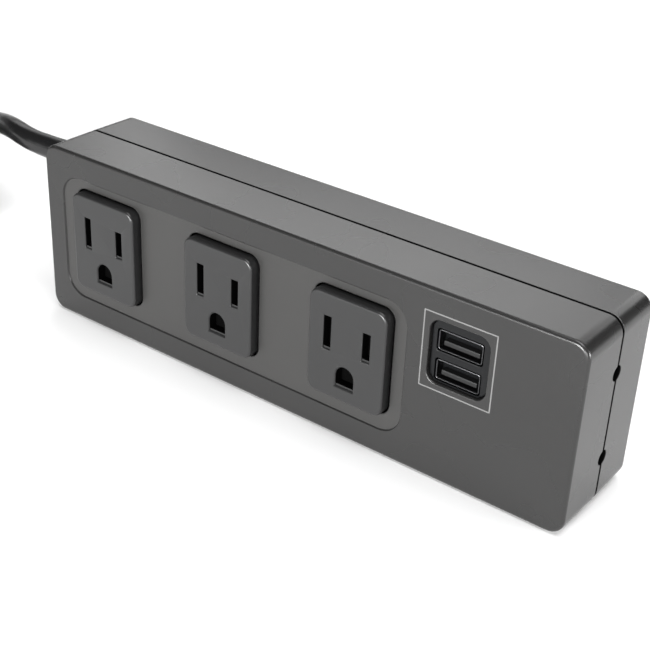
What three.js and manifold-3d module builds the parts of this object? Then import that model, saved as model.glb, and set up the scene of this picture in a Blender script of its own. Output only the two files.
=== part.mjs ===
// A small three-outlet power strip with two USB charging ports, standing on its long side.
// Millimetres. +X runs along the strip to the right, the outlets face -Y, +Z is up.
// The origin is the middle of the footprint of the strip, at the floor.
import * as THREE from "three";
import { mergeVertices } from "three/addons/utils/BufferGeometryUtils.js";
import Module from "manifold-3d";

const wasm = await Module();
wasm.setup();

// Housing
const LENGTH = 183;
const HEIGHT = 55.4;
const BODY_DEPTH = 34;
const FRONT_SHELL_DEPTH = 17.6;
const CORNER_R = 4.6;
const WALL = 2.2;
const FACE_WALL = 2.6;
const FRONT_FILLET = 0.9;
const REAR_FILLET = 0.7;
const REAR_DRAFT = 0.2;
const GAP = 0.3;
const BLOCK_PROUD = 2.4;

// Levels along Y, from the outlet faces to the back
const FACE_Y = -(BODY_DEPTH + BLOCK_PROUD) / 2;
const FRONT_Y = FACE_Y + BLOCK_PROUD;
const REAR_Y = FRONT_Y + BODY_DEPTH;
const SEAM_Y = FRONT_Y + FRONT_SHELL_DEPTH;
const INNER_FRONT_Y = FRONT_Y + FACE_WALL;
const INNER_REAR_Y = REAR_Y - WALL;
const MID_Z = HEIGHT / 2;
const LEFT_X = -LENGTH / 2;
const RIGHT_X = LENGTH / 2;

// Recessed panel round the outlets
const PANEL = { x0: -84.3, x1: 41.6, height: 39.8, r: 7, depth: 0.5 };

// Outlets
const PITCH = 45;
const FIRST_X = -65.5;
const OUTLET_X = [0, 1, 2].map((k) => FIRST_X + k * PITCH);
const BLOCK = { w: 24.9, h: 31.3, r: 3, z: MID_Z + 0.95 };
const MOAT = 0.5;
const FLANGE = { w: 29.5, h: 34.3, r: 2, thick: 1.5 };
const INSERT_REAR_Y = -3;
const INSERT_FACE_WALL = 2.6;
const BLADE_OFFSET = 6.35;
const BLADE_Z = MID_Z + 4.9;
const NEUTRAL_SLOT = { w: 2.5, h: 9.4 };
const LINE_SLOT = { w: 2.5, h: 7.9 };
const GROUND_HOLE = { w: 5.9, top: MID_Z - 3.95, bottom: MID_Z - 9.8 };
const GROUND_Z = (GROUND_HOLE.top + GROUND_HOLE.bottom) / 2;

// Contacts behind the outlets
const STRIP_Y0 = -2.6;
const STRIP_THICK = 0.8;
const LEAF_THICK = 0.6;
const LEAF_FRONT_Y = -14.6;
const COVER = { x0: -74, x1: 37.6, z0: 9.5, z1: 45.4, y0: -1.3, y1: 0.1 };

// USB charger
const WELL = { x: 56.9, z: MID_Z + 10.3, w: 17.5, h: 18.2, r: 3.2, depth: 1.2 };
const PORT = { x: 56.65, w: 13, h: 5.8, wall: 0.45, pitch: 8.6, drop: 1.1, depth: 12.2 };
const PORT_Z = [1, -1].map((side) => WELL.z - PORT.drop + (side * PORT.pitch) / 2);
const TONGUE = { w: 10.6, h: 1.5, drop: 1.05, setback: 0.8 };

// Clamp holes in the right end, and the housing screws
const END_HOLE = { d: 4.2, spacing: 25 };
const SCREWS = [
  ["screw_top_left", -70, 48.4],
  ["screw_bottom_left", -84.3, 6.6],
  ["screw_top_middle", 2, 48.4],
  ["screw_bottom_middle", 2, 6.6],
  ["screw_top_right", 84.3, 48.4],
  ["screw_bottom_right", 84.3, 6.6],
];
const POST_D = 5;
const BOSS_D = 7;
const SCREW = { shank: 2.6, head: 5, headHeight: 2, seatY: 7, tipY: -8 };

// Cord
const CORD_D = 7.2;
const CORD_Z = 44;
const CORD_EXIT = new THREE.Vector3(LEFT_X, SEAM_Y, CORD_Z);
const BOOT = { length: 22, rootD: 9.2, tipD: 7.7, neckD: 8, flangeD: 12 };
const BOOT_TIP_X = LEFT_X - BOOT.length;

// Hank of the spare cord: dog-bone loops, wound down from the top level
const HANK = {
  nearX: -184, // middle of the loop nearer the strip
  loopR: 24,
  flareR: 40,
  runY: CORD_D / 2 + 0.05,
  waist: 18, // straight stretch under the tie
  levels: 5,
  step: CORD_D + 0.1,
};
const FLARE_X = Math.sqrt(
  (HANK.flareR + HANK.loopR) ** 2 - (HANK.flareR + HANK.runY) ** 2,
);
const HANK_MID_X = HANK.nearX - FLARE_X - HANK.waist / 2;
const FAR_X = 2 * HANK_MID_X - HANK.nearX;
const HANK_TOP_Z = CORD_D / 2 + (HANK.levels - 1) * HANK.step;
const TIE = { w: 10, thick: 1.2 };
const TIE_LIFT = TIE.thick + 0.4;

// Plug, lying past the far loop with its blades away from the strip
const PLUG = { w: 26, h: 25, r: 7, length: 36, boot: 20, rim: 3, rimGrow: 1 };
const PLUG_Y = 14;
const PLUG_BOOT_X = FAR_X - 63;
const PLUG_BODY_X = PLUG_BOOT_X - PLUG.boot;
const PLUG_FACE_X = PLUG_BODY_X - PLUG.length;
const PLUG_Z = PLUG.h / 2 + PLUG.rimGrow + 0.1;

const BLACK_MATTE = { color: 0x262626, roughness: 0.62, metalness: 0 };
const BLACK_GLOSS = { color: 0x161616, roughness: 0.28, metalness: 0 };
const BRASS = { color: 0xb08d3c, roughness: 0.35, metalness: 1 };
const STEEL = { color: 0xb9bbbd, roughness: 0.32, metalness: 1 };

const strip = new THREE.Group();

function addPart(name, geometry, look) {
  const mesh = new THREE.Mesh(geometry, new THREE.MeshStandardMaterial(look));
  mesh.name = name;
  strip.add(mesh);
  return mesh;
}

// Closed geometry to a manifold solid, and back
function solidOf(geometry) {
  const bare = geometry.index ? geometry.toNonIndexed() : geometry.clone();
  bare.deleteAttribute("normal");
  bare.deleteAttribute("uv");
  const merged = mergeVertices(bare, 1e-4);
  return new wasm.Manifold(
    new wasm.Mesh({
      numProp: 3,
      vertProperties: merged.attributes.position.array,
      triVerts: new Uint32Array(merged.index.array),
    }),
  );
}

function geometryOf(solid) {
  const mesh = solid.getMesh();
  const geometry = new THREE.BufferGeometry();
  const positions = new THREE.BufferAttribute(mesh.vertProperties, 3);
  geometry.setAttribute("position", positions);
  geometry.setIndex(new THREE.BufferAttribute(mesh.triVerts, 1));
  const flat = geometry.toNonIndexed();
  flat.computeVertexNormals();
  return flat;
}

function joined(...geometries) {
  return geometryOf(geometries.map(solidOf).reduce((a, b) => a.add(b)));
}

function cut(geometry, ...cutters) {
  return geometryOf(
    cutters.map(solidOf).reduce((a, b) => a.subtract(b), solidOf(geometry)),
  );
}

// Outlines in the plane of the front face, seen as (X, Z)
function roundedRect(w, h, r) {
  const x = w / 2 - r;
  const y = h / 2 - r;
  const shape = new THREE.Shape();
  shape.absarc(x, y, r, 0, Math.PI / 2);
  shape.absarc(-x, y, r, Math.PI / 2, Math.PI);
  shape.absarc(-x, -y, r, Math.PI, Math.PI * 1.5);
  shape.absarc(x, -y, r, Math.PI * 1.5, Math.PI * 2);
  shape.closePath();
  return shape;
}

// An outline in (X, Z), centred at x and z, extruded from y0 back to y1
function plate(shape, x, z, y0, y1, segments = 4) {
  const options = {
    depth: y1 - y0,
    bevelEnabled: false,
    curveSegments: segments,
  };
  const geometry = new THREE.ExtrudeGeometry(shape, options);
  return geometry.rotateX(Math.PI / 2).translate(x, y1, z);
}

function box(x0, x1, y0, y1, z0, z1) {
  const geometry = new THREE.BoxGeometry(x1 - x0, y1 - y0, z1 - z0);
  return geometry.translate((x0 + x1) / 2, (y0 + y1) / 2, (z0 + z1) / 2);
}

function rodY(d, x, z, y0, y1, sides = 20) {
  const geometry = new THREE.CylinderGeometry(d / 2, d / 2, y1 - y0, sides);
  return geometry.translate(x, (y0 + y1) / 2, z);
}

function rodX(d, y, z, x0, x1, sides = 20, d1 = d) {
  const geometry = new THREE.CylinderGeometry(d1 / 2, d / 2, x1 - x0, sides);
  return geometry.rotateZ(-Math.PI / 2).translate((x0 + x1) / 2, y, z);
}

// A housing block: rounded outline, with a fillet at its outer end
function shellBlock(fillet, y0, y1) {
  const inset = roundedRect(LENGTH, HEIGHT, CORNER_R);
  const geometry = new THREE.ExtrudeGeometry(inset, {
    depth: y1 - y0 - 2 * fillet,
    bevelThickness: fillet,
    bevelSize: fillet,
    bevelOffset: -fillet,
    bevelSegments: 2,
    curveSegments: 6,
  });
  return geometry.rotateX(Math.PI / 2).translate(0, y1 - fillet, MID_Z);
}

// Draws the outline in towards the back by the mould's draft
function draftBack(geometry) {
  const position = geometry.attributes.position;
  for (let i = 0; i < position.count; i++) {
    const along = (position.getY(i) - SEAM_Y) / (REAR_Y - SEAM_Y);
    const t = Math.max(0, along) * REAR_DRAFT;
    position.setX(i, position.getX(i) * (1 - t / RIGHT_X));
    position.setZ(i, MID_Z + (position.getZ(i) - MID_Z) * (1 - t / MID_Z));
  }
  return geometry;
}

function outlineInset(inset) {
  const r = Math.max(CORNER_R - inset, 1);
  return roundedRect(LENGTH - 2 * inset, HEIGHT - 2 * inset, r);
}

function endHoles(d) {
  return [1, -1].map((side) => {
    const z = MID_Z + (side * END_HOLE.spacing) / 2;
    return rodX(d, SEAM_Y, z, RIGHT_X - 6, RIGHT_X + 2, 16);
  });
}

const cordHole = (d, x0, x1) => rodX(d, SEAM_Y, CORD_Z, x0, x1);
const CLAMP = { x0: -85.2, x1: -80.8, y0: 3.2, y1: 8.2, reach: 6.6 };
const CLAMP_X = (CLAMP.x0 + CLAMP.x1) / 2;
const CLAMP_SCREW_Z = [CORD_Z + CLAMP.reach, CORD_Z - CLAMP.reach];

function frontShell() {
  const past = 4;
  const outer = cut(
    shellBlock(FRONT_FILLET, FRONT_Y, SEAM_Y + past),
    box(LEFT_X - 1, RIGHT_X + 1, SEAM_Y, SEAM_Y + 2 * past, -1, HEIGHT + 1),
  );
  const hollow = plate(outlineInset(WALL), 0, MID_Z, INNER_FRONT_Y, SEAM_Y + 1);
  const panelShape = roundedRect(PANEL.x1 - PANEL.x0, PANEL.height, PANEL.r);
  const panelX = (PANEL.x0 + PANEL.x1) / 2;
  const panelY1 = FRONT_Y + PANEL.depth;
  const panel = plate(panelShape, panelX, MID_Z, FRONT_Y - 1, panelY1, 6);
  const windowShape = roundedRect(
    BLOCK.w + 2 * MOAT,
    BLOCK.h + 2 * MOAT,
    BLOCK.r + MOAT,
  );
  const windows = OUTLET_X.map((x) =>
    plate(windowShape, x, BLOCK.z, FRONT_Y - 1, INNER_FRONT_Y + 1),
  );
  const wellShape = roundedRect(WELL.w, WELL.h, WELL.r);
  const well = plate(wellShape, WELL.x, WELL.z, FRONT_Y - 1, INNER_FRONT_Y + 1);
  const shell = cut(outer, hollow, panel, ...windows, well);
  const posts = SCREWS.map(([, x, z]) =>
    rodY(POST_D, x, z, INNER_FRONT_Y - 1, SEAM_Y - GAP, 16),
  );
  const clampPosts = CLAMP_SCREW_Z.map((z) =>
    rodY(4.6, CLAMP_X, z, INNER_FRONT_Y - 1, CLAMP.y0 - GAP, 16),
  );
  const bores = SCREWS.map(([, x, z]) =>
    rodY(SCREW.shank + 2 * GAP, x, z, SCREW.tipY - 1, SEAM_Y + 1, 12),
  );
  const clampBores = CLAMP_SCREW_Z.map((z) =>
    rodY(2.8, CLAMP_X, z, -7, CLAMP.y0 + 1, 12),
  );
  return cut(
    joined(shell, ...posts, ...clampPosts),
    ...bores,
    ...clampBores,
    ...endHoles(END_HOLE.d),
    cordHole(BOOT.neckD + 2 * GAP, LEFT_X - 2, LEFT_X + 5),
  );
}

function rearShell() {
  const past = 4;
  const start = SEAM_Y + GAP;
  const outer = cut(
    draftBack(shellBlock(REAR_FILLET, SEAM_Y - past, REAR_Y)),
    box(LEFT_X - 1, RIGHT_X + 1, SEAM_Y - 2 * past, start, -1, HEIGHT + 1),
  );
  const hollow = plate(outlineInset(WALL), 0, MID_Z, SEAM_Y - 1, INNER_REAR_Y);
  const ledgeInset = 3.5;
  const ledge = cut(
    plate(outlineInset(1), 0, MID_Z, start, SEAM_Y + 2),
    plate(outlineInset(ledgeInset), 0, MID_Z, SEAM_Y - 1, SEAM_Y + 3),
  );
  const lip = cut(
    plate(outlineInset(WALL + GAP), 0, MID_Z, SEAM_Y - 1.5, SEAM_Y + 1),
    plate(outlineInset(ledgeInset), 0, MID_Z, SEAM_Y - 2, SEAM_Y + 2),
  );
  const bosses = SCREWS.map(([, x, z]) =>
    rodY(BOSS_D, x, z, start, INNER_REAR_Y + 1, 20),
  );
  const holes = SCREWS.map(([, x, z]) =>
    rodY(SCREW.shank + 2 * GAP, x, z, SEAM_Y - 1, REAR_Y, 12),
  );
  const wells = SCREWS.map(([, x, z]) =>
    rodY(SCREW.head + 2 * GAP, x, z, SCREW.seatY - GAP, REAR_Y + 1, 20),
  );
  const cordRoom = box(LEFT_X + 2, -79, SEAM_Y - 2, SEAM_Y + 2.5, 35, 53);
  return cut(
    joined(cut(outer, hollow), ledge, lip, ...bosses),
    ...holes,
    ...wells,
    ...endHoles(END_HOLE.d),
    cordHole(BOOT.neckD + 2 * GAP, LEFT_X - 2, LEFT_X + 5),
    cordHole(BOOT.flangeD + 2 * GAP, LEFT_X + WALL, LEFT_X + 6),
    cordRoom,
  );
}

// A hole with a round top and a flat bottom
function groundShape(grow) {
  const r = GROUND_HOLE.w / 2 + grow;
  const centre = GROUND_HOLE.top - GROUND_HOLE.w / 2 - GROUND_Z;
  const shape = new THREE.Shape();
  shape.moveTo(-r, GROUND_HOLE.bottom - GROUND_Z - grow);
  shape.lineTo(r, GROUND_HOLE.bottom - GROUND_Z - grow);
  shape.absarc(0, centre, r, 0, Math.PI);
  shape.closePath();
  return shape;
}

function outletInsert(x) {
  const flangeY0 = INNER_FRONT_Y + GAP;
  const blockShape = roundedRect(BLOCK.w, BLOCK.h, BLOCK.r);
  const flangeShape = roundedRect(FLANGE.w, FLANGE.h, FLANGE.r);
  const body = joined(
    plate(blockShape, x, BLOCK.z, FACE_Y, INSERT_REAR_Y),
    plate(flangeShape, x, BLOCK.z, flangeY0, flangeY0 + FLANGE.thick),
  );
  const pocketY0 = FACE_Y + INSERT_FACE_WALL;
  const openings = [
    [-BLADE_OFFSET, NEUTRAL_SLOT],
    [BLADE_OFFSET, LINE_SLOT],
  ].flatMap(([dx, slot]) => [
    plate(roundedRect(slot.w, slot.h, 0.2), x + dx, BLADE_Z, FACE_Y - 1, pocketY0 + 1, 1),
    plate(roundedRect(5, 11.2, 0.5), x + dx, BLADE_Z, pocketY0, INSERT_REAR_Y + 1, 1),
  ]);
  return cut(
    body,
    ...openings,
    plate(groundShape(0), x, GROUND_Z, FACE_Y - 1, pocketY0 + 1, 6),
    plate(roundedRect(8.4, 9, 0.5), x, GROUND_Z, pocketY0, INSERT_REAR_Y + 1, 1),
  );
}

// A bus: one strip along the outlets, with a tab and a pair of spring leaves at each outlet
function busBar({ dx, z0, z1, x0, x1, contactZ, contactH, leafGap }) {
  const y1 = STRIP_Y0 + STRIP_THICK;
  const pieces = [box(x0, x1, STRIP_Y0, y1, z0, z1)];
  const tabReach = leafGap + LEAF_THICK;
  for (const outlet of OUTLET_X) {
    const x = outlet + dx;
    const low = Math.min(z0, contactZ - contactH / 2);
    const high = Math.max(z1, contactZ + contactH / 2);
    pieces.push(box(x - tabReach, x + tabReach, STRIP_Y0, y1, low, high));
    for (const side of [-1, 1]) {
      const a = x + side * leafGap;
      const b = a + side * LEAF_THICK;
      const z = contactZ - contactH / 2;
      const ends = [Math.min(a, b), Math.max(a, b)];
      pieces.push(box(...ends, LEAF_FRONT_Y, y1, z, z + contactH));
    }
  }
  return joined(...pieces);
}

function housing() {
  addPart("front_shell", frontShell(), BLACK_MATTE);
  addPart("rear_shell", rearShell(), BLACK_MATTE);
  OUTLET_X.forEach((x, k) =>
    addPart("outlet_insert_" + (k + 1), outletInsert(x), BLACK_MATTE),
  );
  for (const [name, x, z] of SCREWS) {
    const shank = rodY(SCREW.shank, x, z, SCREW.tipY, SCREW.seatY + 0.5, 12);
    const head = rodY(SCREW.head, x, z, SCREW.seatY, SCREW.seatY + SCREW.headHeight, 18);
    addPart(name, joined(shank, head), STEEL);
  }
}

function contacts() {
  const neutral = {
    dx: -BLADE_OFFSET,
    z0: 39.5,
    z1: 43.3,
    x0: -74.5,
    x1: 38,
    contactZ: BLADE_Z,
    contactH: 7,
    leafGap: 0.95,
  };
  const line = { ...neutral, dx: BLADE_OFFSET, z0: 25.6, z1: 28.2, x0: -76.5 };
  const ground = {
    ...neutral,
    dx: 0,
    z0: 9.6,
    z1: 12.8,
    x0: -79.5,
    contactZ: GROUND_Z,
    contactH: 6.4,
    leafGap: 2.5,
  };
  addPart("neutral_bus", busBar(neutral), BRASS);
  addPart("line_bus", busBar(line), BRASS);
  addPart("ground_bus", busBar(ground), BRASS);
  const cover = box(COVER.x0, COVER.x1, COVER.y0, COVER.y1, COVER.z0, COVER.z1);
  addPart("bus_cover", cover, { color: 0x8a6f4a, roughness: 0.8 });
}

function usbCharger() {
  const bezelY = FRONT_Y + WELL.depth;
  const flangeY0 = INNER_FRONT_Y + GAP;
  const plug = roundedRect(WELL.w - 2 * GAP, WELL.h - 2 * GAP, WELL.r - GAP);
  const flange = roundedRect(WELL.w + 4, WELL.h + 4, 2);
  const portCut = roundedRect(PORT.w + 2 * GAP, PORT.h + 2 * GAP, 0.8);
  const bezel = cut(
    joined(
      plate(plug, WELL.x, WELL.z, bezelY, flangeY0 + 1),
      plate(flange, WELL.x, WELL.z, flangeY0, flangeY0 + 1.5),
    ),
    ...PORT_Z.map((z) => plate(portCut, PORT.x, z, bezelY - 1, flangeY0 + 3, 2)),
  );
  addPart("usb_bezel", bezel, BLACK_GLOSS);

  const shellY0 = bezelY + 0.15;
  const shellY1 = shellY0 + PORT.depth;
  const outer = roundedRect(PORT.w, PORT.h, 0.7);
  const innerSize = [PORT.w - 2 * PORT.wall, PORT.h - 2 * PORT.wall];
  const inner = roundedRect(...innerSize, 0.3);
  ["usb_shell_upper", "usb_shell_lower"].forEach((name, k) => {
    const shell = cut(
      plate(outer, PORT.x, PORT_Z[k], shellY0, shellY1, 2),
      plate(inner, PORT.x, PORT_Z[k], shellY0 - 1, shellY1 - 0.8, 2),
    );
    addPart(name, shell, STEEL);
  });
  ["usb_tongue_upper", "usb_tongue_lower"].forEach((name, k) => {
    const z = PORT_Z[k] - TONGUE.drop;
    const shape = roundedRect(TONGUE.w, TONGUE.h, 0.2);
    const y0 = shellY0 + TONGUE.setback;
    const tongue = plate(shape, PORT.x, z, y0, shellY1 - 0.8 - GAP, 1);
    addPart(name, tongue, { color: 0x3a3c3e, roughness: 0.5 });
  });

  const boardY = shellY1 + GAP;
  const board = box(46, 81.3, boardY, boardY + 1.6, COVER.z0, COVER.z1);
  addPart("charger_board", board, { color: 0x1f4d2c, roughness: 0.5 });
  const onBoard = boardY + 1.6 + GAP;
  const core = roundedRect(17, 14, 1);
  addPart(
    "charger_transformer",
    plate(core, 60, 34, onBoard, onBoard + 13, 1),
    { color: 0xc9a43a, roughness: 0.5 },
  );
  addPart("charger_capacitor", rodY(9, 74, 37, onBoard, onBoard + 13.5), {
    color: 0x20242c,
    roughness: 0.35,
  });
  addPart(
    "charger_output_choke",
    cut(
      rodY(11, 56, 18, onBoard, onBoard + 6),
      rodY(5, 56, 18, onBoard - 1, onBoard + 7, 16),
    ),
    { color: 0xa0562a, roughness: 0.4 },
  );
}

function surgeProtection() {
  const board = { x0: -76, x1: -30, y0: 1, y1: 2.6, z0: COVER.z0, z1: 35 };
  addPart(
    "surge_board",
    box(board.x0, board.x1, board.y0, board.y1, board.z0, board.z1),
    { color: 0x2a5a3a, roughness: 0.5 },
  );
  const y0 = board.y1 + GAP;
  [-70, -61, -52].forEach((x, k) => {
    const disc = rodX(11, y0 + 5.6, 17.5, x, x + 4.5, 20);
    addPart("varistor_" + (k + 1), disc, { color: 0x2d5fa8, roughness: 0.4 });
  });
  const fuse = rodX(4, y0 + 2.1, 27, -68, -56, 16);
  addPart("thermal_fuse", fuse, { color: 0xd8d8d2, roughness: 0.5 });
  const film = box(-44, -33, y0, y0 + 12, 13, 31);
  addPart("filter_capacitor", film, { color: 0xc9b64a, roughness: 0.45 });
}

function tube(d, curve, steps, curveSegments) {
  const section = new THREE.Shape();
  section.absarc(0, 0, d / 2, 0, Math.PI * 2);
  return new THREE.ExtrudeGeometry(section, {
    steps,
    curveSegments,
    extrudePath: curve,
    bevelEnabled: false,
  });
}

const curveThrough = (points) =>
  new THREE.CatmullRomCurve3(
    points.map((p) => new THREE.Vector3(...p)),
    false,
    "centripetal",
  );

function innerWires() {
  const d = 2.4;
  const start = -78.7;
  const routes = {
    line_wire: [
      [start, SEAM_Y + 1.4, CORD_Z + 1.2],
      [-76, 4, 45],
      [-68, 6.5, 41],
      [-62, 7.5, 36],
      [-60, 6.5, 31.5],
      [-60, 3.1, 30.8],
    ],
    neutral_wire: [
      [start, SEAM_Y - 1.4, CORD_Z + 1.2],
      [-77.6, 0.4, 44.9],
      [-76.6, -1, 42.6],
      [-75.5, -1.6, 41.4],
    ],
    ground_wire: [
      [start, SEAM_Y, CORD_Z - 1.7],
      [-76.6, 2.6, 41.6],
      [-77, 6, 36],
      [-79.5, 6.5, 22],
      [-82.4, 2.5, 13.6],
      [-82, -1.4, 11.6],
      [-79.9, -2, 11.2],
    ],
    line_link_wire: [
      [-76.4, 1.8, 31],
      [-80.9, 1.8, 30.4],
      [-80.9, -1, 28],
      [-76.9, -1.6, 26.9],
    ],
    charger_line_wire: [
      [38.3, -2.1, 26.9],
      [41, -2, 26.9],
      [45.6, -1.5, 26.9],
    ],
    charger_neutral_wire: [
      [38.3, -2.1, 41.4],
      [41, -2, 41.4],
      [45.6, -1.5, 41.4],
    ],
  };
  const colours = {
    line_wire: 0x1a1a1a,
    neutral_wire: 0xe6e6e2,
    ground_wire: 0x1f7a3a,
    line_link_wire: 0x1a1a1a,
    charger_line_wire: 0x1a1a1a,
    charger_neutral_wire: 0xe6e6e2,
  };
  for (const [name, points] of Object.entries(routes)) {
    const wire = tube(d, curveThrough(points), 4 * points.length, 4);
    addPart(name, wire, { color: colours[name], roughness: 0.5 });
  }
}

// Everything that holds the cord where it enters the housing
function cordEntry() {
  const neck0 = LEFT_X - 0.3;
  const boot = joined(
    rodX(BOOT.tipD, SEAM_Y, CORD_Z, BOOT_TIP_X, neck0, 24, BOOT.rootD),
    rodX(BOOT.neckD, SEAM_Y, CORD_Z, neck0 - 1, LEFT_X + WALL + 1, 24),
    rodX(BOOT.flangeD, SEAM_Y, CORD_Z, LEFT_X + WALL + GAP, LEFT_X + WALL + 2, 24),
  );
  addPart("strain_relief", boot, { color: 0x1d1d1d, roughness: 0.5 });
  const jacketX0 = LEFT_X + WALL + 2 + GAP;
  addPart(
    "cord_inner_end",
    rodX(CORD_D, SEAM_Y, CORD_Z, jacketX0, -79.3, 16),
    BLACK_MATTE,
  );
  const saddle = cut(
    box(CLAMP.x0, CLAMP.x1, CLAMP.y0, CLAMP.y1, CORD_Z - 9, CORD_Z + 8.4),
    rodX(CORD_D + 2 * GAP, SEAM_Y, CORD_Z, CLAMP.x0 - 1, CLAMP.x1 + 1),
    ...CLAMP_SCREW_Z.map((z) => rodY(2.8, CLAMP_X, z, 0, CLAMP.y1 + 1, 12)),
  );
  addPart("cord_clamp", saddle, BLACK_MATTE);
  ["clamp_screw_upper", "clamp_screw_lower"].forEach((name, k) => {
    const z = CLAMP_SCREW_Z[k];
    const y = CLAMP.y1 + GAP;
    const shank = rodY(2.2, CLAMP_X, z, -6, y + 0.5, 12);
    const head = rodY(3.4, CLAMP_X, z, y, y + 1.6, 16);
    addPart(name, joined(shank, head), STEEL);
  });
}

// The free stretch from the strain relief to the hank's top turn
const LEAD_POINTS = [
  [BOOT_TIP_X - GAP, SEAM_Y, 44],
  [-117.5, 2.05, 44],
  [-122.5, 3.2, 43.8],
  [-129, 5.5, 43.2],
  [-136, 8.6, 41.8],
  [-143.5, 12.2, 39.8],
  [-150.5, 15.6, 37.6],
  [-157.5, 18.6, 35.6],
];

// The last stretch, along the floor beside the far loop and up to the plug
const TAIL_POINTS = [
  [FAR_X - 1, 24, 3.65],
  [FAR_X - 12, 24, 3.65],
  [FAR_X - 22, 23.8, 3.8],
  [FAR_X - 31.5, 22.6, 5.1],
  [FAR_X - 41, 19, 8.7],
  [FAR_X - 50.5, 15.3, 12.3],
  [FAR_X - 58, PLUG_Y + 0.1, 13.5],
  [PLUG_BOOT_X + GAP, PLUG_Y, PLUG_Z],
];

// The hank's outline from above: two round loops joined by a narrow waist
function hankShape() {
  const outer = HANK.loopR + CORD_D / 2;
  const flare = HANK.flareR - CORD_D / 2;
  const half = FLARE_X + HANK.waist / 2;
  const cy = HANK.runY + HANK.flareR;
  const swing = Math.atan2(cy, FLARE_X);
  const shape = new THREE.Shape();
  shape.absarc(half, 0, outer, swing - Math.PI, Math.PI - swing, false);
  shape.absarc(half - FLARE_X, cy, flare, -swing, -Math.PI / 2, true);
  shape.absarc(FLARE_X - half, cy, flare, -Math.PI / 2, swing - Math.PI, true);
  shape.absarc(-half, 0, outer, swing, 2 * Math.PI - swing, false);
  shape.absarc(FLARE_X - half, -cy, flare, Math.PI - swing, Math.PI / 2, true);
  shape.absarc(half - FLARE_X, -cy, flare, Math.PI / 2, swing, true);
  shape.closePath();
  return shape;
}

function cordAndPlug() {
  const jacket = { color: 0x1c1c1c, roughness: 0.45 };
  const lead = tube(CORD_D, curveThrough(LEAD_POINTS), 20, 5);
  const height = HANK_TOP_Z + CORD_D / 2 + TIE_LIFT;
  const bundle = new THREE.ExtrudeGeometry(hankShape(), {
    depth: height,
    bevelEnabled: false,
    curveSegments: 8,
  }).translate(HANK_MID_X, 0, 0);
  const tieHalf = TIE.w / 2 + 1;
  const hank = cut(
    bundle,
    box(HANK_MID_X - tieHalf, HANK_MID_X + tieHalf, -30, 30, -1, TIE_LIFT),
    box(FAR_X - 30, FAR_X, 8, 30, -1, CORD_D + 0.6),
  );
  addPart("cord_lead", lead, jacket);
  addPart("cord_hank", hank, jacket);
  addPart("cord_tail", tube(CORD_D, curveThrough(TAIL_POINTS), 10, 5), jacket);

  const side = 2 * HANK.runY + 0.3;
  const tieShape = new THREE.Shape();
  const around = (shape, grow) => {
    const y = side + grow;
    shape.moveTo(-y, TIE.thick - grow);
    shape.lineTo(y, TIE.thick - grow);
    shape.lineTo(y, height + 0.3 + grow);
    shape.lineTo(-y, height + 0.3 + grow);
    shape.closePath();
    return shape;
  };
  around(tieShape, TIE.thick - 0.05);
  tieShape.holes.push(around(new THREE.Path(), 0));
  const tie = new THREE.ExtrudeGeometry(tieShape, {
    depth: TIE.w,
    bevelEnabled: false,
  });
  tie.applyMatrix4(
    new THREE.Matrix4().makeBasis(
      new THREE.Vector3(0, 1, 0),
      new THREE.Vector3(0, 0, 1),
      new THREE.Vector3(1, 0, 0),
    ),
  );
  addPart("hank_tie", tie.translate(HANK_MID_X - TIE.w / 2, 0, 0), BLACK_MATTE);
  plug();
}

// Along X: an outline in (Y, Z) about y and z, from x0 to x1
function barX(shape, y, z, x0, x1, segments = 4) {
  const geometry = new THREE.ExtrudeGeometry(shape, {
    depth: x1 - x0,
    bevelEnabled: false,
    curveSegments: segments,
  });
  geometry.applyMatrix4(
    new THREE.Matrix4().makeBasis(
      new THREE.Vector3(0, 1, 0),
      new THREE.Vector3(0, 0, 1),
      new THREE.Vector3(1, 0, 0),
    ),
  );
  return geometry.translate(x0, y, z);
}

function plug() {
  const grip = roundedRect(PLUG.w, PLUG.h, PLUG.r);
  const rimShape = roundedRect(
    PLUG.w + 2 * PLUG.rimGrow,
    PLUG.h + 2 * PLUG.rimGrow,
    PLUG.r + PLUG.rimGrow,
  );
  const taper = rodX(12.5, PLUG_Y, PLUG_Z, PLUG_BODY_X - 1, PLUG_BOOT_X, 20, 8.6);
  const body = joined(
    barX(grip, PLUG_Y, PLUG_Z, PLUG_FACE_X, PLUG_BODY_X),
    barX(rimShape, PLUG_Y, PLUG_Z, PLUG_FACE_X, PLUG_FACE_X + PLUG.rim),
    taper,
  );
  addPart("plug_body", body, { color: 0x1d1d1d, roughness: 0.45 });
  const bladeZ = PLUG_Z + 4.6;
  const x1 = PLUG_FACE_X - GAP;
  const blade = roundedRect(1.5, 6.3, 0.2);
  const bladeX0 = x1 - 17.5;
  const lineY = PLUG_Y - BLADE_OFFSET;
  const neutralY = PLUG_Y + BLADE_OFFSET;
  addPart("plug_blade_line", barX(blade, lineY, bladeZ, bladeX0, x1, 1), BRASS);
  addPart("plug_blade_neutral", barX(blade, neutralY, bladeZ, bladeX0, x1, 1), BRASS);
  const pin = rodX(4.8, PLUG_Y, bladeZ - 11.9, x1 - 20, x1, 16);
  addPart("plug_ground_pin", pin, BRASS);
}

housing();
contacts();
usbCharger();
surgeProtection();
innerWires();
cordEntry();
cordAndPlug();

export default strip;
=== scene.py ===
"""Power strip on edge: three grounded outlets, two USB charging ports and a tied mains cord."""

import math

import bmesh
import bpy
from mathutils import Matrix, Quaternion, Vector
from mathutils.geometry import tessellate_polygon


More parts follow.
